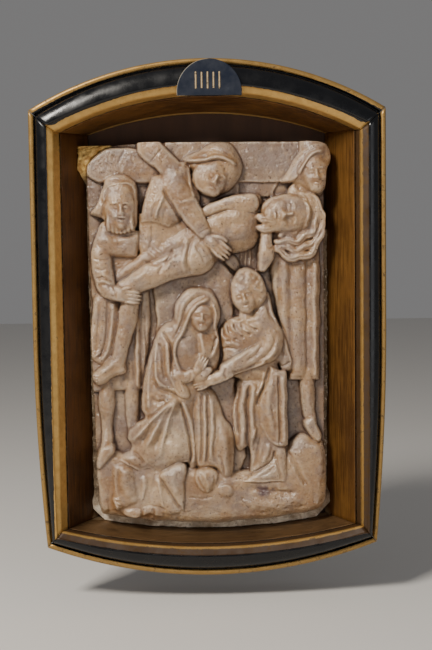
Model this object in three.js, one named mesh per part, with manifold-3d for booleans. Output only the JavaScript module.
// Framed alabaster relief: a carved slab in a splayed, gilt box frame with an ebonised moulding.
// Millimetres, +Z up, front to -Y. The origin is on the flat back, at mid-width and mid-height.
import * as THREE from "three";
import Module from "manifold-3d";

// Driving dimensions of the frame
const GAP = 0.3;
const BACK_BOARD = 8;
const LINING_THICK = 9;
const LINING_FRONT = 52;
const SIGHT_DEPTH = 62;
const MOULDING_CREST = 68;
const MOULDING_OUTER = {
  topHalf: 168, bottomHalf: 158.5, topZ: 207.6, bottomZ: -207.6, topSag: 47, bottomSag: 29.5,
};
const SIGHT = {
  topHalf: 144, bottomHalf: 144, topZ: 186.5, bottomZ: -191.1, topSag: 36.1, bottomSag: 18.3,
};
const BACK_OPENING = {
  topHalf: 115.8, bottomHalf: 113.25, topZ: 188.1, bottomZ: -189.5, topSag: 20, bottomSag: 10.2,
};
const BEAD = 5;
const BEAD_CENTRE = 58;
const BEAD_FOOT = 56;
const QUIRK = 57.4;
const FILLET = 6.5;
const TABLET_RADIUS = 30.3;
const TABLET_CENTRE = [1.5, 222];
const TABLET_SKIRT = 3.5;
const TABLET_THICK = 3.5;

// Driving dimensions of the stone
const STONE_BACK = BACK_BOARD + GAP;
const SLAB = 15;
const CROWN = 38;
const STONE_TRIANGLES = 6200;
const SOFTENING = 4;
const GRID = 257;
const LEFT = -122;
const RIGHT = 122;
const FOOT = -194;
const HEAD = 184;
const STONE_OUTLINE = [
  [0, 179], [60, 178.6], [100, 178], [113, 175.5], [118, 168], [117.5, 158], [113, 146], [112.5, 100],
  [112.5, 0], [112, -100], [112, -160], [110.5, -172], [103, -180], [80, -187], [40, -191.4],
  [0, -192.8], [-40, -191.4], [-80, -187.6], [-102, -183], [-110, -177], [-111.5, -160],
  [-113, -100], [-115, 0], [-116, 100], [-116.5, 152], [-113, 161], [-107, 168], [-97, 174.5],
  [-80, 177.6], [-40, 178.8],
];
const STONE_HALF = [112, 182];
const STONE_WALL = 8;
const STONE_REACH = 90;
const BACK_TAPER = [0.955, 0.985];
const BEDDING_GAP = 0.4;

const lerp = (a, b, t) => a + (b - a) * t;

const material = (color, roughness, metalness = 0) => (
  new THREE.MeshStandardMaterial({ color, roughness, metalness })
);
const ALABASTER = material(0xc9a98c, 0.45);
const PLASTER = material(0xb5aa98, 0.9);
const BARE_WOOD = material(0x4a3220, 0.8);
const GILT = material(0x7d5a26, 0.4, 0.6);
const EBONISED = material(0x14161a, 0.3);
const TABLET_BLACK = material(0x20242c, 0.45);

function meshOf(name, positions, indices, look) {
  const geometry = new THREE.BufferGeometry();
  geometry.setAttribute("position", new THREE.Float32BufferAttribute(positions, 3));
  geometry.setIndex(indices);
  geometry.computeVertexNormals();
  const mesh = new THREE.Mesh(geometry, look);
  mesh.name = name;
  return mesh;
}

// Triangles that fill a flat outline, all turned the same way.
function filling(flat) {
  return THREE.ShapeUtils.triangulateShape(flat, []).map(([a, b, c]) => (
    THREE.ShapeUtils.area([flat[a], flat[b], flat[c]]) > 0 ? [a, b, c] : [a, c, b]
  ));
}

// Frame: every outline is four sides, each run from t = 0 to 1 clockwise from the top left corner.

const arc = (x, half, sag) => {
  const radius = (half * half + sag * sag) / (2 * sag);
  return Math.sqrt(Math.max(radius * radius - x * x, 0)) - (radius - sag);
};

function outlinePoint(o, side, t) {
  if (side === "top") {
    const x = lerp(-o.topHalf, o.topHalf, t);
    return [x, o.topZ + arc(x, o.topHalf, o.topSag)];
  }
  if (side === "bottom") {
    const x = lerp(o.bottomHalf, -o.bottomHalf, t);
    return [x, o.bottomZ - arc(x, o.bottomHalf, o.bottomSag)];
  }
  const down = side === "right" ? t : 1 - t;
  const taper = o === MOULDING_OUTER ? Math.max(2 * down - 1, 0) ** 2 : down;
  const half = lerp(o.topHalf, o.bottomHalf, taper);
  return [side === "right" ? half : -half, lerp(o.topZ, o.bottomZ, down)];
}

// The splayed inside of the box at a depth, moved outwards by a thickness.
function boxOutline(depth, out) {
  const t = (depth - BACK_BOARD) / (SIGHT_DEPTH - BACK_BOARD);
  const o = {};
  for (const key of Object.keys(SIGHT)) {
    o[key] = lerp(BACK_OPENING[key], SIGHT[key], t);
  }
  o.topHalf += out;
  o.bottomHalf += out;
  o.topZ += out;
  o.bottomZ -= out;
  return o;
}

// A bar along one side: section(t) gives the closed section at t as [x, z, depth] rows.
function bar(name, side, length, stations, section, look) {
  const positions = [];
  const indices = [];
  const end = 0.8 * GAP / length;
  let count = 0;
  for (let i = 0; i <= stations; i += 1) {
    const rows = section(lerp(end, 1 - end, i / stations));
    count = rows.length;
    for (const [x, z, depth] of rows) {
      positions.push(x, -depth, z);
    }
  }
  for (let i = 0; i < stations; i += 1) {
    for (let k = 0; k < count; k += 1) {
      const a = i * count + k;
      const b = i * count + (k + 1) % count;
      indices.push(a, b, b + count, a, b + count, a + count);
    }
  }
  const across = side === "top" || side === "bottom" ? 1 : 0;
  const flat = [];
  for (let k = 0; k < count; k += 1) {
    const zx = across === 1 ? positions[3 * k + 2] : positions[3 * k];
    flat.push(new THREE.Vector2(zx, positions[3 * k + 1]));
  }
  const last = stations * count;
  const turn = THREE.ShapeUtils.area(flat) > 0;
  for (const [a, b, c] of filling(flat)) {
    if (turn) {
      indices.push(a, c, b, last + a, last + b, last + c);
    } else {
      indices.push(a, b, c, last + a, last + c, last + b);
    }
  }
  return outward(name, positions, indices, look);
}

// Turns a closed surface outwards, by the sign of its volume.
function outward(name, positions, indices, look) {
  let volume = 0;
  for (let i = 0; i < indices.length; i += 3) {
    const [a, b, c] = [0, 1, 2].map((k) => new THREE.Vector3().fromArray(positions, 3 * indices[i + k]));
    volume += a.dot(b.cross(c));
  }
  if (volume < 0) {
    for (let i = 0; i < indices.length; i += 3) {
      [indices[i], indices[i + 1]] = [indices[i + 1], indices[i]];
    }
  }
  return meshOf(name, positions, indices, look);
}

const SIDE_LENGTH = { top: 300, bottom: 300, left: 390, right: 390 };
const STATIONS = { top: 16, bottom: 14, left: 8, right: 8 };
const CORNER_WIDTH = { top: 22.5, bottom: 15.5 };

function lining(side) {
  const corners = [
    [STONE_BACK, 0], [LINING_FRONT, 0], [LINING_FRONT, LINING_THICK], [STONE_BACK, LINING_THICK],
  ];
  const section = (t) => corners.map(([depth, out]) => (
    [...outlinePoint(boxOutline(depth, out), side, t), depth]
  ));
  return bar(`lining_${side}`, side, SIDE_LENGTH[side], STATIONS[side], section, GILT);
}

// Width of the moulding on its face, eased so that both sides of a mitre agree.
function faceWidth(side, t) {
  const own = (u) => {
    const inner = outlinePoint(SIGHT, side, u);
    const outer = outlinePoint(MOULDING_OUTER, side, u);
    const k = side === "top" || side === "bottom" ? 1 : 0;
    return Math.abs(outer[k] - inner[k]);
  };
  const first = { top: "top", right: "top", bottom: "bottom", left: "bottom" }[side];
  const final = { top: "top", right: "bottom", bottom: "bottom", left: "top" }[side];
  const atFirst = (CORNER_WIDTH[first] / own(0) - 1) * (1 - t) ** 3;
  const atFinal = (CORNER_WIDTH[final] / own(1) - 1) * t ** 3;
  return own(t) * (1 + atFirst + atFinal);
}

function moulding(side) {
  const section = (t) => {
    const inner = outlinePoint(SIGHT, side, t);
    const outer = outlinePoint(MOULDING_OUTER, side, t);
    const width = faceWidth(side, t);
    const bead = Math.min(BEAD, 0.27 * width);
    const fillet = Math.min(FILLET, 0.3 * width);
    const at = (fromOuter, depth) => {
      const s = 1 - fromOuter / width;
      return [lerp(inner[0], outer[0], s), lerp(inner[1], outer[1], s), depth];
    };
    const lip = outlinePoint(boxOutline(LINING_FRONT + GAP, 0), side, t);
    const rows = [
      [...lip, LINING_FRONT + GAP], at(0.5 * bead, LINING_FRONT + GAP), at(0.12 * bead, BEAD_FOOT),
    ];
    for (let i = 0; i <= 4; i += 1) {
      const a = Math.PI * i / 4;
      rows.push(at(0.5 * bead * (1 - Math.cos(a)), BEAD_CENTRE + 0.5 * bead * Math.sin(a)));
    }
    rows.push(at(bead + 0.7, QUIRK));
    const start = bead + 1.4;
    const stop = width - fillet;
    for (let i = 0; i <= 5; i += 1) {
      const a = 0.5 * Math.PI * i / 5;
      const depth = lerp(QUIRK + 0.8, MOULDING_CREST, Math.sin(a));
      rows.push(at(lerp(start, stop, 1 - Math.cos(a)), depth));
    }
    rows.push(at(width - fillet + 0.2, MOULDING_CREST - 1.4));
    rows.push(at(width - 0.5, SIGHT_DEPTH + 0.9));
    rows.push([...inner, SIGHT_DEPTH]);
    return rows;
  };
  return bar(`moulding_${side}`, side, SIDE_LENGTH[side], STATIONS[side], section, EBONISED);
}

function shapeOf(points) {
  return new THREE.Shape(points.map(([x, z]) => new THREE.Vector2(x, z)));
}

// A flat plate between two depths.
function plate(name, points, near, far, bevel, look) {
  const geometry = new THREE.ExtrudeGeometry(shapeOf(points), {
    depth: far - near - 2 * bevel,
    bevelEnabled: bevel > 0,
    bevelSize: bevel,
    bevelThickness: bevel,
    bevelOffset: -bevel,
    bevelSegments: 2,
  });
  geometry.rotateX(Math.PI / 2);
  geometry.translate(0, -near - bevel, 0);
  const mesh = new THREE.Mesh(geometry, look);
  mesh.name = name;
  return mesh;
}

function backBoard() {
  const o = boxOutline(BACK_BOARD, LINING_THICK);
  const points = [];
  for (const side of ["top", "right", "bottom", "left"]) {
    const steps = side === "top" || side === "bottom" ? 20 : 1;
    for (let i = 0; i < steps; i += 1) {
      points.push(outlinePoint(o, side, i / steps));
    }
  }
  return plate("back_board", points, 0, BACK_BOARD, 0, BARE_WOOD);
}

function numberTablet() {
  const points = [];
  const below = Math.asin(TABLET_SKIRT / TABLET_RADIUS);
  const [x, z] = TABLET_CENTRE;
  for (let i = 0; i <= 24; i += 1) {
    const a = (Math.PI + 2 * below) * i / 24 - below;
    points.push([x + TABLET_RADIUS * Math.cos(a), z + TABLET_RADIUS * Math.sin(a)]);
  }
  const near = MOULDING_CREST + GAP;
  return plate("number_tablet", points, near, near + TABLET_THICK, 0.6, TABLET_BLACK);
}

// Stone: a height field above the back of the slab, carved by a few kinds of stroke.

const NOTHING = -90;
const SIZE = GRID * GRID;
const columnX = (i) => lerp(LEFT, RIGHT, i / (GRID - 1));
const rowZ = (j) => lerp(FOOT, HEAD, j / (GRID - 1));

// Points on a smooth curve through rows of numbers; a row given twice is a sharp corner.
function spline(points, per, closed) {
  const n = points.length;
  const out = [];
  if (n === 2 && !closed) {
    for (let k = 0; k <= per; k += 1) {
      out.push(points[0].map((v, m) => lerp(v, points[1][m], k / per)));
    }
    return out;
  }
  const pick = (i) => (closed ? points[(i + n) % n] : points[Math.min(Math.max(i, 0), n - 1)]);
  for (let i = 0; i < (closed ? n : n - 1); i += 1) {
    const [a, b, c, d] = [pick(i - 1), pick(i), pick(i + 1), pick(i + 2)];
    const sharp = b[0] === c[0] && b[1] === c[1];
    for (let k = 0; k < (sharp ? 1 : per); k += 1) {
      const t = k / per;
      out.push(b.map((v, m) => 0.5 * (2 * v + (c[m] - a[m]) * t
        + (2 * a[m] - 5 * v + 4 * c[m] - d[m]) * t * t
        + (3 * v - a[m] - 3 * c[m] + d[m]) * t * t * t)));
    }
  }
  if (!closed) {
    out.push(points[n - 1]);
  }
  return out;
}

// Distance and side of a point from a run of points, and how far along it the nearest place is.
function nearest(run, lengths, total, x, z) {
  let best = Infinity;
  let side = 0;
  let along = 0;
  let done = 0;
  for (let k = 0; k + 1 < run.length; k += 1) {
    const ln = lengths[k];
    if (ln < 1e-9) {
      continue;
    }
    const dx = (run[k + 1][0] - run[k][0]) / ln;
    const dz = (run[k + 1][1] - run[k][1]) / ln;
    const s = Math.min(Math.max((x - run[k][0]) * dx + (z - run[k][1]) * dz, 0), ln);
    const px = x - run[k][0] - s * dx;
    const pz = z - run[k][1] - s * dz;
    const d = Math.hypot(px, pz);
    if (d < best) {
      best = d;
      side = Math.sign(dx * pz - dz * px);
      along = (done + s) / total;
    }
    done += ln;
  }
  return [best, side, along];
}

const runLengths = (run) => run.slice(1).map((p, k) => Math.hypot(p[0] - run[k][0], p[1] - run[k][1]));

class Layer {
  constructor(level = NOTHING) {
    this.h = new Float64Array(SIZE).fill(level);
  }

  // Calls work(index, x, z) for the grid points in a box round some points.
  over(points, pad, work) {
    const px = points.map((p) => p[0]);
    const pz = points.map((p) => p[1]);
    for (let j = 0; j < GRID; j += 1) {
      const z = rowZ(j);
      if (z < Math.min(...pz) - pad || z > Math.max(...pz) + pad) {
        continue;
      }
      for (let i = 0; i < GRID; i += 1) {
        const x = columnX(i);
        if (x >= Math.min(...px) - pad && x <= Math.max(...px) + pad) {
          work(j * GRID + i, x, z);
        }
      }
    }
  }

  // Keeps the higher of two heights, with a soft seam.
  raise(n, height, soft) {
    const old = this.h[n];
    const k = Math.max(soft - Math.abs(old - height), 0);
    const seam = soft > 0 && old > NOTHING ? k * k / (4 * soft) : 0;
    this.h[n] = Math.max(old, height) + seam;
  }

  // A rounded lump on an ellipse.
  blob(x, z, rx, rz, turn, base, rise, soft = 1) {
    const c = Math.cos(turn * Math.PI / 180);
    const s = Math.sin(turn * Math.PI / 180);
    this.over([[x, z]], Math.max(rx, rz), (n, px, pz) => {
      const u = ((px - x) * c + (pz - z) * s) / rx;
      const v = (-(px - x) * s + (pz - z) * c) / rz;
      const q = u * u + v * v;
      if (q < 1) {
        this.raise(n, base + rise * Math.sqrt(1 - q), soft);
      }
    });
  }

  // A limb along a curve of [x, z, radius, level of the axis].
  limb(points, flat = 1, soft = 1) {
    const run = spline(points, 6, false);
    this.over(run, Math.max(...run.map((p) => p[2])), (n, x, z) => {
      let top = NOTHING;
      for (let k = 0; k + 1 < run.length; k += 1) {
        const [a, b] = [run[k], run[k + 1]];
        const [dx, dz] = [b[0] - a[0], b[1] - a[1]];
        const along = ((x - a[0]) * dx + (z - a[1]) * dz) / Math.max(dx * dx + dz * dz, 1e-9);
        const t = Math.min(Math.max(along, 0), 1);
        const r = lerp(a[2], b[2], t);
        const q = ((x - a[0] - t * dx) ** 2 + (z - a[1] - t * dz) ** 2) / (r * r);
        if (q < 1) {
          top = Math.max(top, lerp(a[3], b[3], t) + flat * r * Math.sqrt(1 - q));
        }
      }
      if (top > NOTHING) {
        this.raise(n, top, soft);
      }
    });
  }

  // A mitten of a hand: it points along turn, in degrees from +x.
  palm(x, z, turn, size, level) {
    const c = size * Math.cos(turn * Math.PI / 180);
    const s = size * Math.sin(turn * Math.PI / 180);
    this.limb([
      [x - 0.1 * c, z - 0.1 * s, 0.36 * size, level - 2],
      [x + 0.4 * c, z + 0.4 * s, 0.38 * size, level - 1.5],
      [x + 0.75 * c, z + 0.75 * s, 0.3 * size, level - 2],
    ], 0.4, 1);
  }

  // A swelling area inside a closed curve, with a rounded rim.
  slab(outline, level, edge = 2, bulge = 0, reach = 14, soft = 0.6) {
    const run = spline(outline, 4, true);
    run.push(run[0]);
    const lengths = runLengths(run);
    this.over(run, 0, (n, x, z) => {
      let inside = false;
      for (let k = 0; k + 1 < run.length; k += 1) {
        const [a, b] = [run[k], run[k + 1]];
        if ((a[1] > z) !== (b[1] > z) && x < (b[0] - a[0]) * (z - a[1]) / (b[1] - a[1]) + a[0]) {
          inside = !inside;
        }
      }
      if (inside) {
        const [d] = nearest(run, lengths, 1, x, z);
        const e = 1 - Math.min(d / edge, 1);
        const m = 1 - Math.min(d / reach, 1);
        this.raise(n, level - edge * (1 - Math.sqrt(1 - e * e)) + bulge * (1 - m * m), soft);
      }
    });
  }

  // A round fold ("ridge"), a sharp one ("fold"), a channel ("cut") or a cloth edge ("lap").
  stroke(points, width, height, kind = "ridge", fade = 0.25) {
    const run = spline(points, 6, false);
    const lengths = runLengths(run);
    const total = lengths.reduce((a, b) => a + b, 0);
    this.over(run, width, (n, x, z) => {
      const [d, side, t] = nearest(run, lengths, total, x, z);
      const q = Math.min(d / width, 1);
      if (q >= 1 || this.h[n] <= NOTHING + 1) {
        return;
      }
      const f = Math.min(Math.min(t, 1 - t) / fade, 1);
      let add = height * (0.5 + 0.5 * Math.cos(Math.PI * q));
      if (kind === "cut") {
        add = -height * (1 - q) ** 1.6;
      } else if (kind === "fold") {
        add = height * (1 - q) ** 1.8;
      } else if (kind === "lap") {
        add = side >= 0 ? height * (1 - q) ** 1.7 : -0.35 * height * Math.max(1 - 4 * q, 0);
      }
      this.h[n] += add * f * f * (3 - 2 * f);
    });
  }

  placeOn(under, soft) {
    for (let n = 0; n < SIZE; n += 1) {
      if (this.h[n] > NOTHING + 1) {
        under.raise(n, this.h[n], soft);
      }
    }
  }
}

// Figures: millimetres across and up, levels above the back of the slab.

function crossAndGround() {
  const g = new Layer(SLAB);
  g.slab([[-66, 171], [-85, 175], [-98, 173], [-107, 167], [-113, 160], [-116, 152], [-114, 146],
    [-107, 141.5], [-100, 140], [-55, 140], [-55, 140], [-46, 149]], 22, 3, 1.5, 12);
  g.slab([[-40, 190], [-40, 190], [122, 190], [122, 190], [122, 140], [122, 140], [30.5, 139.5],
    [30.5, 139.5], [30.5, 100], [30.5, 100], [-24, 100], [-24, 100], [-24, 150], [-40, 158]],
    21, 1.6, 0, 10);
  g.slab([[30, 140], [30, 140], [69, 140], [69, 140], [64, 131], [62, 126], [30, 127], [30, 127]],
    18, 1.2, 0, 8);
  g.slab([[-52, 60], [-53, 25], [-52, 0], [-56, -60], [-56, -140], [30, -140], [24, -60], [23, 0],
    [24, 45], [20, 54], [14, 61], [4, 66]], 20, 3, 2, 12);
  g.limb([[15, 68, 5, 17], [22, 64, 6, 18], [27, 57, 4, 17]], 0.8, 1);
  g.slab([[-112, -122], [-106, -116], [-97, -118], [-60, -130], [0, -138], [30, -141], [60, -140],
    [74, -118], [84, -108], [92, -106], [104, -113], [111, -116], [114, -140], [112, -177], [100, -183],
    [75, -187.6], [40, -191], [0, -192.4], [-40, -191], [-75, -187.8], [-100, -183], [-110, -179],
    [-112, -150]], 27, 8, 5, 20);
  g.slab([[-111, -134], [-104, -128], [-97, -131], [-95, -145], [-97, -160], [-99, -176], [-107, -178],
    [-111, -165]], 30, 5, 2, 9);
  g.slab([[77, -124], [90, -112], [104, -114], [111, -124], [111, -150], [108, -176], [98, -176],
    [93, -160], [85, -142]], 30, 7, 1.5, 12);
  g.stroke([[75, -121], [80, -131], [86, -143], [93, -157]], 4, 2.6, "cut", 0.12);
  g.stroke([[24, -158], [45, -158], [62, -161], [88, -163]], 6, 2.6, "cut", 0.25);
  g.slab([[62, -153], [73, -153], [74, -159], [64, -160]], 31.5, 1.5, 0.6, 3);
  return g;
}

function rightFigure() {
  const f = new Layer();
  f.slab([[62, 100], [84, 118], [104, 118], [108, 60], [108, 0], [107.5, -53], [107.5, -53], [77, -53.5],
    [77, -53.5], [70, 0], [60, 50]], 23, 5, 3.5, 10);
  f.slab([[84, 140], [104, 132], [109, 108], [84, 112], [76, 126]], 26, 3, 3, 10);
  f.slab([[90, 186], [88, 170], [82, 160], [76, 150], [71, 142], [71, 139], [84, 138], [96, 128],
    [110, 128], [112, 143], [117, 155], [119, 162], [117, 172], [112, 180]], 28, 5, 8, 16);
  f.blob(103, 148, 13.5, 20.5, 4, 28, 10, 3);
  f.blob(103, 147.5, 12, 19, 4, 31, 9);
  f.stroke([[86, 145], [90, 153], [95, 161], [103, 167], [112, 168]], 3, 2.2, "ridge", 0.1);
  for (const [x, depth] of [[66, 1.6], [78, 1.8], [94.3, 3.2], [97.5, 2]]) {
    f.stroke([[x, 66], [x + 0.6, 40], [x + 0.8, 0], [x + 0.4, -53]], 3.6, depth, "cut", 0.04);
  }
  f.limb([[95, -45, 7.6, 17], [95.5, -66, 7.6, 17], [96.5, -84, 6.4, 18], [98.5, -94, 5.8, 20]],
    1.1, 0.5);
  f.slab([[91, -92], [100, -88], [104, -97], [109, -108], [108.5, -113], [104, -114.5], [98, -109],
    [91, -99]], 27.5, 4, 1.5, 6);
  return f;
}

function leftMan() {
  const f = new Layer();
  f.slab([[-113, 72], [-66, 72], [-58, 20], [-60, -20], [-66, -61.5], [-66, -61.5], [-117, -62],
    [-117, -62], [-116.5, -25], [-113.5, 20]], 20, 4, 3.5, 10);
  for (const [x, depth] of [[-99, 2.4], [-86, 1.6], [-74.5, 1.8], [-67.5, 2.2]]) {
    f.stroke([[x, 34], [x + 1, -10], [x, -61]], 4, depth, "cut", 0.05);
  }
  f.limb([[-101, -55, 8, 15], [-101.5, -75, 8.2, 15], [-102, -92, 6.2, 16], [-101.5, -106, 5.6, 19],
    [-102, -117, 6, 26]], 1.2, 0.5);
  f.slab([[-96, -112], [-93.5, -119], [-98, -126], [-104, -135], [-109, -138], [-112, -134],
    [-111, -125], [-107, -114]], 33, 4.5, 2, 6);
  f.limb([[-77, -55, 7.8, 15], [-77, -76, 7.2, 15], [-76, -92, 5.6, 16], [-74, -112, 5, 16]], 1.2, 0.5);
  f.slab([[-67, 93], [-80, 96], [-98, 103], [-104, 101], [-109, 90], [-112.5, 80], [-115, 70.5],
    [-115, 70.5], [-90, 69], [-68, 68.5], [-68, 68.5]], 27, 5, 5, 12);
  f.stroke([[-100, 94], [-92, 90], [-78, 89], [-69, 91]], 4, 2.6, "cut", 0.15);
  f.slab([[-101, 138], [-98, 145], [-89, 148.5], [-78, 147.5], [-71, 142], [-68.5, 136], [-67.5, 120],
    [-69.5, 98], [-80, 92.5], [-90, 93], [-98, 98], [-102, 106], [-107, 108], [-113, 112], [-108, 120],
    [-104, 130]], 27, 4, 8, 15);
  f.blob(-85, 117, 14.5, 23, 0, 30, 8.5, 3);
  f.blob(-84.5, 115.5, 13.2, 21.5, 0, 30.5, 8);
  f.stroke([[-100, 121], [-99, 130], [-95, 136], [-86, 139], [-77, 139], [-71, 134], [-69.5, 126]],
    2.6, 2.2, "lap", 0.1);
  f.stroke([[-99, 124], [-101, 114], [-103, 106]], 3, 2.2, "cut", 0.2);
  f.limb([[-104, 72, 10.5, 24], [-103, 58, 10, 26], [-101, 46, 9.8, 28], [-98, 38, 8.6, 30]], 0.9, 1);
  return f;
}

function leftHand() {
  const f = new Layer();
  f.limb([[-101, 41, 8, 29], [-95, 36, 7.8, 31], [-86, 33.5, 7.2, 34]], 0.9, 1);
  f.palm(-83, 32, -6, 17, 36);
  return f;
}

function christ() {
  const f = new Layer();
  f.limb([[-22, 84, 12, 22], [-45, 73, 10, 22], [-65, 64, 8.5, 21], [-82, 53, 7, 20], [-92, 46, 6, 20]],
    0.9, 1);
  f.slab([[-12, 50], [4, 61], [18, 70], [28, 72], [38, 75], [46, 79], [50, 88], [52, 100], [53, 116],
    [51, 127], [40, 129.5], [25, 128], [12, 126], [3, 122], [-6, 115], [-14, 108], [-24, 98], [-30, 80],
    [-26, 60]], 24, 6, 13, 22);
  f.limb([[-6, 110, 4.6, 31], [6, 116, 5.2, 32], [20, 120, 6, 32.5], [40, 120, 9, 32]], 0.7, 6);
  f.limb([[-12, 68, 17, 25], [-35, 60, 13.5, 28], [-58, 50, 11.5, 29], [-75, 42, 9, 29],
    [-86, 38, 7.5, 27]], 0.8, 2);
  f.stroke([[-14, 90], [-17, 83], [-20, 72], [-20, 60], [-17, 52]], 2.6, 2.6, "cut", 0.12);
  f.stroke([[-66, 66], [-50, 62], [-36, 68], [-26, 76]], 3, 2.2, "cut", 0.2);
  f.slab([[-98, 34], [-112, 30], [-115, 0], [-116, -24], [-112, -33], [-104, -36], [-96, -30],
    [-90, -10], [-88, 20]], 24, 3, 3, 8);
  f.stroke([[-99.5, 30], [-99.5, 5], [-102, -14], [-109, -30]], 2.8, 2.4, "cut", 0.08);
  f.limb([[-76, 34, 9, 26], [-78.5, 16, 9.6, 26], [-81.5, 0, 8.6, 26], [-86, -18, 7.6, 26.5],
    [-89.5, -32, 7.6, 27]], 0.95, 1);
  f.slab([[-83, -30], [-82.5, -43], [-94, -47.5], [-103, -53], [-110, -54], [-115, -48], [-114, -43],
    [-107, -38], [-98, -28], [-90, -22]], 30, 5, 3, 8);
  return f;
}

function christHead() {
  const f = new Layer();
  f.slab([[61, 76], [66, 69], [76, 65], [90, 63.5], [100, 68], [107, 80], [110, 96], [110, 112],
    [105, 123], [96, 128], [76, 128], [62, 124], [56, 112], [58, 96], [64, 84]], 24, 5, 6, 14);
  const locks = [[[97, 116, 3], [98, 104, 3.4], [91, 96, 3.6], [80, 91, 3.4], [69, 89, 2.4]],
    [[103, 112, 3], [103, 98, 3.8], [94, 88, 4], [80, 83, 3.8], [65, 83, 2.6]], [[108, 104, 3],
    [107, 90, 3.8], [97, 79, 4.2], [82, 75, 4], [64, 78, 2.6]], [[109, 94, 2.8], [104, 78, 3.6],
    [92, 69, 4], [78, 68, 3.6], [63, 74, 2.4]], [[96, 126, 3], [104, 120, 4], [109, 110, 4],
    [110, 98, 3]], [[90, 127, 2.6], [99, 118, 3.4], [103, 107, 3.2], [101, 98, 2.6]]];
  for (const lock of locks) {
    f.limb(lock.map(([x, z, r]) => [x, z, 1.25 * r, 29.8]), 0.9, 0.8);
  }
  f.blob(76, 108.5, 27, 19.5, -5, 28, 10, 2);
  f.blob(76, 108.5, 17, 24.5, -85, 32, 8.5);
  f.limb([[62, 98, 5.5, 30], [54, 96, 4.6, 32], [49, 96, 3.2, 31]], 0.9, 1.5);
  f.limb([[62, 104, 5.5, 31], [53, 104.5, 5, 33], [47.5, 107, 3.2, 32]], 0.9, 1.5);
  return f;
}

function christArm() {
  const f = new Layer();
  f.limb([[56, 94, 5.5, 27], [55.5, 82, 5.8, 29], [55.5, 72, 7.5, 30], [54, 64, 6.5, 29],
    [52, 57, 4.5, 29]], 0.9, 1);
  return f;
}

function topMan() {
  const f = new Layer();
  f.slab([[-67, 112], [-67, 112], [-40, 112], [-14, 95], [-34, 74], [-66, 72]], 25, 3, 4, 12);
  f.limb([[-57, 174, 11.5, 27], [-46, 164, 11, 28.5], [-36, 154, 11, 29]], 0.55, 1);
  f.slab([[-46, 149], [-40, 155], [-32, 160], [-24, 161], [-18, 156], [-14, 140], [-8, 128], [-12, 112],
    [-26, 103], [-36, 95], [-36, 95], [-50, 100], [-66, 102], [-66, 102], [-64, 115], [-60, 128],
    [-57, 138], [-53, 146]], 29, 5, 8, 16);
  f.limb([[-34, 144, 10, 29], [-30, 133, 12, 30.5], [-21, 118, 11.5, 32], [-13, 105, 10, 33]], 0.75, 6);
  f.stroke([[-43, 134], [-40, 126], [-35, 118], [-30, 108], [-26, 102]], 2.6, 3.2, "cut", 0.12);
  f.slab([[-24, 163], [-18, 167], [-8, 171], [0, 176], [8, 179], [18, 179], [25, 175], [30, 168],
    [33, 158], [32, 148], [27, 138], [20, 132], [10, 128], [2, 129], [-6, 132], [-12, 138], [-15, 150],
    [-20, 158]], 28, 6, 9, 17);
  f.blob(2, 145, 17, 17, -30, 30, 8.5, 3);
  f.blob(4, 144.5, 15, 18.5, -26, 31, 9);
  f.stroke([[-24, 162], [-14, 160.5], [-4, 161.5], [6, 164], [14, 163.5], [22, 160], [28, 154]],
    3, 3.2, "ridge", 0.08);
  f.stroke([[-18, 157], [-17, 146], [-15.5, 134], [-12, 124]], 2.6, 2.2, "ridge", 0.12);
  return f;
}

function topManHand() {
  const f = new Layer();
  f.limb([[-30, 134, 11.5, 31], [-21, 118, 11.2, 32.5], [-13, 105, 9.6, 34], [-5, 93, 7.6, 35.5]],
    0.75, 1);
  f.palm(4, 82, -42, 20, 38);
  return f;
}

function skirtFoot() {
  const f = new Layer();
  f.slab([[-96, -133], [-86, -131], [-76, -136], [-73, -152], [-71, -168], [-78, -173], [-88, -176],
    [-98, -174], [-97, -150]], 31, 3, 4, 8);
  f.slab([[-76, -138], [-64, -141], [-52, -140], [-54, -152], [-60, -166], [-64, -176], [-71, -172],
    [-72, -154]], 30, 3, 3, 8);
  f.slab([[-54, -143], [-48, -146], [-42, -156], [-30, -176], [-36, -182], [-52, -180], [-62, -176],
    [-60, -160]], 32, 2.5, 2.5, 8);
  f.slab([[-50, -142], [-36, -133], [-24, -134], [-25.5, -150], [-27, -176], [-30, -178], [-38, -166],
    [-46, -152]], 34, 3, 3.5, 8);
  f.stroke([[-49, -146], [-44, -155], [-37, -166], [-30, -177]], 2.4, 2.6, "cut", 0.1);
  f.limb([[-84, -178, 3.6, 29], [-76, -180, 5.5, 29.5], [-69, -179, 4.5, 30], [-61, -177, 4.5, 30.5],
    [-53, -179, 5, 30], [-46, -181, 4, 28], [-34, -182, 3.6, 27]], 0.7, 3);
  return f;
}

function kneeAndFoot() {
  const f = new Layer();
  f.slab([[-17, -58], [0, -60], [8, -74], [14, -89], [20, -98], [22.5, -108], [22.3, -130], [19.5, -149],
    [19.5, -149], [7, -147.5], [7, -147.5], [3, -138], [-13, -137], [-19, -110]], 28, 5, 7, 15);
  for (const [x, depth] of [[-10.5, 3.0], [-4.5, 2.4]]) {
    f.stroke([[x, -62], [x + 1.5, -90], [x + 0.5, -134]], 3, depth, "cut", 0.08);
  }
  f.stroke([[4, -82], [5, -102], [3, -122], [7, -138]], 4, 2.2, "cut", 0.2);
  f.slab([[-3, -136], [5, -141], [6, -150], [1, -160], [-4, -163], [-12, -159], [-18, -150],
    [-15, -140]], 31.5, 4, 5, 9);
  f.blob(13, -160, 10.5, 9, -10, 27, 8, 3);
  return f;
}

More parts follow.
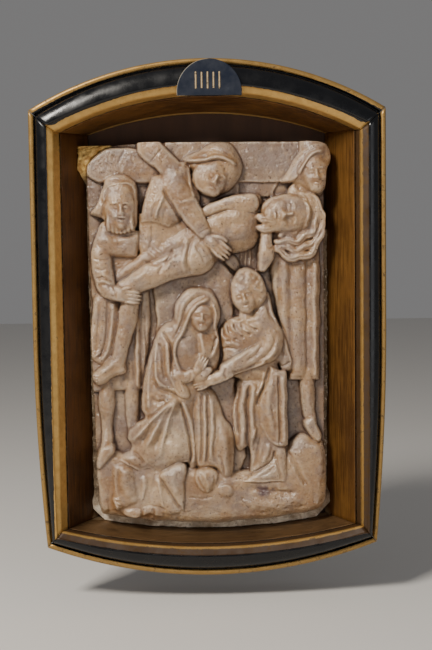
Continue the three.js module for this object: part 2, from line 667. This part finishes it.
function kneelingWoman() {
  const f = new Layer();
  f.slab([[-10, 40], [-22, 36], [-29, 28], [-33, 20], [-36, 8], [-42, 6], [-48, 0], [-56, -16],
    [-62, -36], [-66, -56], [-68, -77], [-64, -87], [-72, -92], [-79, -100], [-80.5, -108], [-77, -114],
    [-81, -120], [-91, -125], [-93, -128], [-88, -131], [-82, -135], [-72, -140.5], [-62, -138],
    [-53, -142.5], [-47, -145], [-41, -139], [-34, -134.5], [-23, -132], [-20, -139], [-14, -136],
    [-12, -126], [-14, -100], [-13, -70], [2, -56], [9, -30], [8, 0], [6, 12], [9, 22], [6, 30],
    [0, 38]], 28, 5, 8, 17);
  f.blob(-12, 14, 22, 25, 0, 30, 9, 2);
  f.slab([[-16, -6], [-27, -4], [-33, -14], [-34, -26], [-31, -38], [-16, -50], [2, -42], [5, -18],
    [2, -4]], 31, 3, 1, 12);
  f.blob(-8, 11, 11.8, 14.8, -8, 31, 9.5);
  f.stroke([[0, 29], [-10, 24], [-17, 17], [-21, 9], [-26, -2], [-32, -14], [-34.5, -24], [-32, -36],
    [-27, -46]], 3.2, 4.4, "ridge", 0.06);
  f.stroke([[3, 26], [5.5, 14], [5, 2], [8, -10], [5, -20], [1, -30]], 2.8, 3.2, "ridge", 0.1);
  f.stroke([[-46, -2], [-41, -9], [-37.5, -16], [-37.5, -30], [-37, -44], [-32, -54]],
    2.6, 3.2, "cut", 0.06);
  f.stroke([[-41, -12], [-41.5, -28], [-40, -44], [-34, -56]], 3.2, 2.4, "ridge", 0.1);
  f.stroke([[-50, -12], [-46, -26], [-45.5, -42], [-44, -50]], 3.4, 2.8, "cut", 0.12);
  f.stroke([[-53, -14], [-53, -32], [-52, -48], [-46, -57]], 3.6, 2.2, "fold", 0.15);
  f.stroke([[-57, -26], [-60, -46], [-61, -66], [-60, -80]], 4.4, 2.6, "fold", 0.15);
  f.stroke([[-55, -50], [-50, -57], [-42, -61], [-34, -64], [-24, -66]], 3, 2.6, "cut", 0.12);
  f.slab([[-37, -30], [-34, -26], [-31, -38], [-27, -48], [-21, -58], [-20, -65], [-24, -68], [-31, -66],
    [-37, -58], [-39, -46]], 37, 3, 2.5, 6);
  for (const [end, size] of [[[-79, -112], 5.6], [[-64, -118], 5.4], [[-43, -106], 4.4], [[-51, -128],
    3.2]]) {
    const middle = [(end[0] - 35) / 2 - 1, (end[1] - 67) / 2 + 1];
    f.stroke([[-33, -65], middle, end], 6.5, size, "fold", 0.2);
  }
  for (const [end, depth] of [[[-72, -116], 3.0], [[-56, -118], 3.4], [[-46, -116], 2.4]]) {
    const middle = [(end[0] - 35) / 2, (end[1] - 72) / 2];
    f.stroke([[-37, -72], middle, end], 5, depth, "cut", 0.25);
  }
  f.stroke([[-64, -87], [-56, -83], [-46, -74], [-38, -68]], 2.6, 3, "cut", 0.1);
  f.stroke([[-31, -70], [-26, -84], [-21.5, -102], [-19.5, -120], [-21, -133]], 2.6, 3.6, "cut", 0.06);
  f.stroke([[-27, -70], [-22, -84], [-17.5, -102], [-16, -120], [-18, -134]], 3, 2.2, "ridge", 0.08);
  f.stroke([[-91, -127], [-80, -132], [-70, -138], [-62, -136.5], [-53, -141]], 2.6, 2.2, "ridge", 0.08);
  f.stroke([[-78, -117], [-70, -124], [-64, -132]], 3, 2.4, "cut", 0.2);
  return f;
}

function joinedHands() {
  const f = new Layer();
  f.limb([[-33, -44, 6.4, 36], [-25, -47, 6.2, 37.5], [-18, -44, 5.5, 39]], 0.8, 1);
  f.palm(-12, -39, 58, 14, 40);
  f.limb([[-16, -46, 5, 37], [-8, -46, 4.6, 38], [-2, -40, 4, 38]], 0.9, 0.6);
  return f;
}

function john() {
  const f = new Layer();
  f.slab([[38, 14], [52, 30], [57, 33], [62, 20], [67, 6], [73, -8], [78, -22], [81, -36], [78, -44],
    [70, -44], [66, -36], [66, -52], [30, -54], [28, -51], [8, -44], [8, -38], [12, -28], [10, -14],
    [11, 0], [20, 8]], 26, 4, 7, 14);
  f.stroke([[55, 24], [60, 8], [67, -4], [71, -20], [72, -32]], 3, 2.2, "cut", 0.12);
  for (const run of [[[11, 2], [12, -7], [18, -13]], [[15, 5], [17, -4], [25, -11]], [[21, 7], [23, -1],
    [32, -8]], [[27, 5], [30, 0], [39, -5]], [[34, 7], [38, 3], [45, 0]]]) {
    f.stroke(run, 2.8, 2.6, "fold", 0.2);
  }
  f.slab([[30, -50], [66, -46], [75, -44], [75, -75], [76.5, -95], [75, -117], [73, -130], [74, -152],
    [74, -152], [27, -153], [27, -150], [38, -142], [37, -118], [28, -122], [22.5, -112], [21.5, -85],
    [24, -68]], 26, 4, 6, 14);
  for (const run of [[[33, -54], [30, -76], [30, -100], [31, -120]], [[42, -54], [41, -70], [39, -92],
    [41, -112]]]) {
    f.stroke(run, 4.6, 3.0, "ridge", 0.1);
  }
  for (const run of [[[38, -54], [35.5, -76], [35, -104], [38, -122]], [[28, -60], [25.5, -80],
    [26, -106]]]) {
    f.stroke(run, 3, 3, "cut", 0.1);
  }
  f.stroke([[44, -94], [40, -110], [38, -128], [33, -146]], 3, 2.2, "fold", 0.15);
  f.stroke([[49, -102], [46, -118], [42, -134], [34, -148]], 3, 2.2, "cut", 0.2);
  f.stroke([[27, -151], [38, -144.5], [50, -138], [60, -130], [62, -120]], 2.6, 3, "cut", 0.06);
  f.slab([[29, -150.5], [40, -145], [52, -138], [61, -131], [63, -118], [73, -119], [74, -152],
    [74, -152], [40, -152.5]], 31, 2.5, 3.5, 9);
  f.slab([[57, -36], [66, -42], [75, -46], [75.5, -80], [76, -110], [74, -116], [62, -117], [55, -107],
    [45, -92], [46, -78], [50, -60], [54, -46]], 32, 3.5, 4, 10);
  f.stroke([[58, -38], [55, -50], [50, -62], [45, -76]], 2.6, 3, "cut", 0.08);
  f.stroke([[53, -42], [50, -54], [45, -68]], 3, 2.4, "ridge", 0.15);
  f.stroke([[66, -46], [66.5, -80], [66.5, -114]], 2.4, 3.2, "cut", 0.06);
  return f;
}

function johnHead() {
  const f = new Layer();
  f.blob(38, 37, 17, 21.5, 14, 27, 12, 2);
  f.blob(34, 29.5, 12, 17, 12, 30, 9);
  f.limb([[36, 16, 7, 26], [36, 8, 8, 26]], 0.8, 2);
  return f;
}

function johnArm() {
  const f = new Layer();
  f.limb([[52, 4, 12, 25], [58, -8, 12.5, 28], [58, -19, 12.5, 30], [50, -26, 11, 32],
    [38, -31, 9.5, 33.5], [26, -36, 8.4, 34.5], [16, -40, 7.6, 36]], 0.75, 1);
  f.limb([[17, -43, 6.4, 36.5], [9, -47, 6.2, 37], [2, -50, 6, 37.4]], 0.85, 1);
  f.palm(-3, -52, 197, 14, 38);
  return f;
}

function carve() {
  const ground = crossAndGround();
  const figures = [rightFigure, leftMan, topMan, christ, christHead, christArm, topManHand, leftHand,
    skirtFoot, kneeAndFoot, john, kneelingWoman, johnHead, joinedHands, johnArm];
  for (const figure of figures) {
    figure().placeOn(ground, 1);
  }
  ground.h.forEach((height, n) => {
    ground.h[n] = Math.min(height, CROWN + 0.8 * (height - CROWN));
  });
  return ground;
}

const FINEST_ERROR = 0.3;
const ERROR_STEP = 1.06;

// Right-angled triangles, split only where the carving needs it.
function triangulate(heights, budget) {
  const error = new Float64Array(SIZE);
  const last = GRID - 1;
  const at = (x, z) => z * GRID + x;
  const measure = (ax, az, bx, bz, cx, cz) => {
    const mx = (ax + bx) / 2;
    const mz = (az + bz) / 2;
    if (!Number.isInteger(mx) || !Number.isInteger(mz)) {
      return 0;
    }
    const m = at(mx, mz);
    const own = Math.abs((heights[at(ax, az)] + heights[at(bx, bz)]) / 2 - heights[m]);
    const below = Math.max(measure(cx, cz, ax, az, mx, mz), measure(bx, bz, cx, cz, mx, mz));
    if (Math.max(own, below) > error[m]) {
      error[m] = Math.max(own, below);
      changed = true;
    }
    return error[m];
  };
  let changed = true;
  while (changed) {
    changed = false;
    measure(0, 0, last, last, last, 0);
    measure(last, last, 0, 0, 0, last);
  }
  let tolerance = FINEST_ERROR;
  let triangles = [];
  const emit = (ax, az, bx, bz, cx, cz) => {
    const mx = (ax + bx) / 2;
    const mz = (az + bz) / 2;
    if (Number.isInteger(mx) && Number.isInteger(mz) && error[at(mx, mz)] > tolerance) {
      emit(cx, cz, ax, az, mx, mz);
      emit(bx, bz, cx, cz, mx, mz);
    } else {
      triangles.push([at(ax, az), at(bx, bz), at(cx, cz)]);
    }
  };
  do {
    triangles = [];
    tolerance *= ERROR_STEP;
    emit(0, 0, last, last, last, 0);
    emit(last, last, 0, 0, 0, last);
  } while (triangles.length > budget);
  return triangles;
}

function manifoldOf(wasm, positions, indices) {
  const mesh = new wasm.Mesh({
    numProp: 3,
    vertProperties: new Float32Array(positions),
    triVerts: new Uint32Array(indices),
  });
  return new wasm.Manifold(mesh);
}

// The carved surface over a deep block, to be cut to the outline.
function carvedBlock(wasm, heights) {
  const triangles = triangulate(heights, STONE_TRIANGLES);
  const positions = [];
  const indices = [];
  const front = new Map();
  const edges = new Map();
  const vertex = (n) => {
    if (!front.has(n)) {
      front.set(n, positions.length / 3);
      positions.push(columnX(n % GRID), -(STONE_BACK + heights[n]), rowZ(Math.floor(n / GRID)));
    }
    return front.get(n);
  };
  for (const [a, b, c] of triangles) {
    const t = [vertex(a), vertex(c), vertex(b)];
    const p = t.map((k) => new THREE.Vector2(positions[3 * k], positions[3 * k + 2]));
    if (THREE.ShapeUtils.area(p) < 0) {
      t.reverse();
    }
    indices.push(...t);
    for (let k = 0; k < 3; k += 1) {
      const [u, v] = [t[k], t[(k + 1) % 3]];
      if (edges.has(`${v}_${u}`)) {
        edges.delete(`${v}_${u}`);
      } else {
        edges.set(`${u}_${v}`, [u, v]);
      }
    }
  }
  const back = new Map();
  const behind = (k) => {
    if (!back.has(k)) {
      back.set(k, positions.length / 3);
      positions.push(positions[3 * k], 0, positions[3 * k + 2]);
    }
    return back.get(k);
  };
  const centre = positions.length / 3;
  positions.push(0, 0, 0);
  for (const [u, v] of edges.values()) {
    indices.push(v, u, behind(u), v, behind(u), behind(v), behind(v), behind(u), centre);
  }
  return manifoldOf(wasm, positions, indices);
}

// A closed block through rings of [x, z, depth] rows, from the back to the front.
function loft(wasm, rings) {
  const flat = rings[0].map(([x, z]) => new THREE.Vector2(x, z));
  if (THREE.ShapeUtils.area(flat) < 0) {
    flat.reverse();
    rings.forEach((ring) => ring.reverse());
  }
  const n = flat.length;
  const positions = rings.flat().flatMap(([x, z, depth]) => [x, -depth, z]);
  const indices = [];
  for (let a = 0; a < n * (rings.length - 1); a += 1) {
    const b = a % n === n - 1 ? a + 1 - n : a + 1;
    indices.push(a, b, b + n, a, b + n, a + n);
  }
  const top = n * (rings.length - 1);
  for (const [a, b, c] of filling(flat)) {
    indices.push(a, c, b, top + a, top + b, top + c);
  }
  return manifoldOf(wasm, positions, indices);
}

// The stone's outline as a block: tapered towards the back, straight in front.
function outlineBlock(wasm, spread) {
  const run = spline(STONE_OUTLINE, 3, true);
  const [growX, growZ] = STONE_HALF.map((half) => 1 + spread / half);
  const steps = [[BACK_TAPER, STONE_BACK], [[1, 1], STONE_BACK + STONE_WALL], [[1, 1], STONE_REACH]];
  return loft(wasm, steps.map(([scale, depth]) => (
    run.map(([x, z]) => [x * scale[0] * growX, z * scale[1] * growZ, depth])
  )));
}

function fromManifold(name, solid, look) {
  const { vertProperties, triVerts, numProp } = solid.getMesh();
  const positions = [];
  for (let i = 0; i < vertProperties.length; i += numProp) {
    positions.push(vertProperties[i], vertProperties[i + 1], vertProperties[i + 2]);
  }
  return meshOf(name, positions, Array.from(triVerts), look);
}

// The inside of the box, a little clear of the linings.
function boxInside(wasm, near, far) {
  return loft(wasm, [near, far].map((depth) => {
    const o = boxOutline(depth, -BEDDING_GAP);
    const ring = [];
    for (const side of ["top", "right", "bottom", "left"]) {
      const steps = side === "top" || side === "bottom" ? 12 : 1;
      for (let i = 0; i < steps; i += 1) {
        ring.push([...outlinePoint(o, side, i / steps), depth]);
      }
    }
    return ring;
  }));
}

// Bedding between the stone and the box: down both sides, under the foot, and a lump at the top left.
const BEDDING = [
  [[-130, -100], [-196, 178], 15],
  [[-130, -92], [150, 178.5], 27],
  [[100, 130], [-196, 150], 14],
  [[-130, 130], [-205, -172], 22],
];

function plasterBedding(wasm) {
  let body = null;
  for (const [[x0, x1], [z0, z1], front] of BEDDING) {
    const corners = [[x0, z0], [x1, z0], [x1, z1], [x0, z1]];
    const rings = [STONE_BACK, front].map((depth) => corners.map(([x, z]) => [x, z, depth]));
    const block = loft(wasm, rings);
    body = body ? body.add(block) : block;
  }
  const room = boxInside(wasm, STONE_BACK, 40);
  const bedding = body.intersect(room).subtract(outlineBlock(wasm, BEDDING_GAP));
  return fromManifold("plaster_bedding", bedding, PLASTER);
}

// Takes the sharpest steps off, so that the facets go to the forms.
function soften(heights) {
  const out = heights.slice();
  for (let j = 1; j < GRID - 1; j += 1) {
    for (let i = 1; i < GRID - 1; i += 1) {
      const n = j * GRID + i;
      const around = heights[n - 1] + heights[n + 1] + heights[n - GRID] + heights[n + GRID];
      out[n] = 0.5 * heights[n] + 0.125 * around;
    }
  }
  return out;
}

function reliefPanel(wasm) {
  let heights = carve().h;
  for (let pass = 0; pass < SOFTENING; pass += 1) {
    heights = soften(heights);
  }
  const block = carvedBlock(wasm, heights);
  return fromManifold("relief_panel", block.intersect(outlineBlock(wasm, 0)), ALABASTER);
}

const wasm = await Module();
wasm.setup();

const part = new THREE.Group();
part.name = "framed_relief";
part.add(reliefPanel(wasm), plasterBedding(wasm), backBoard(), numberTablet());
for (const side of ["top", "right", "bottom", "left"]) {
  part.add(lining(side), moulding(side));
}

export default part;
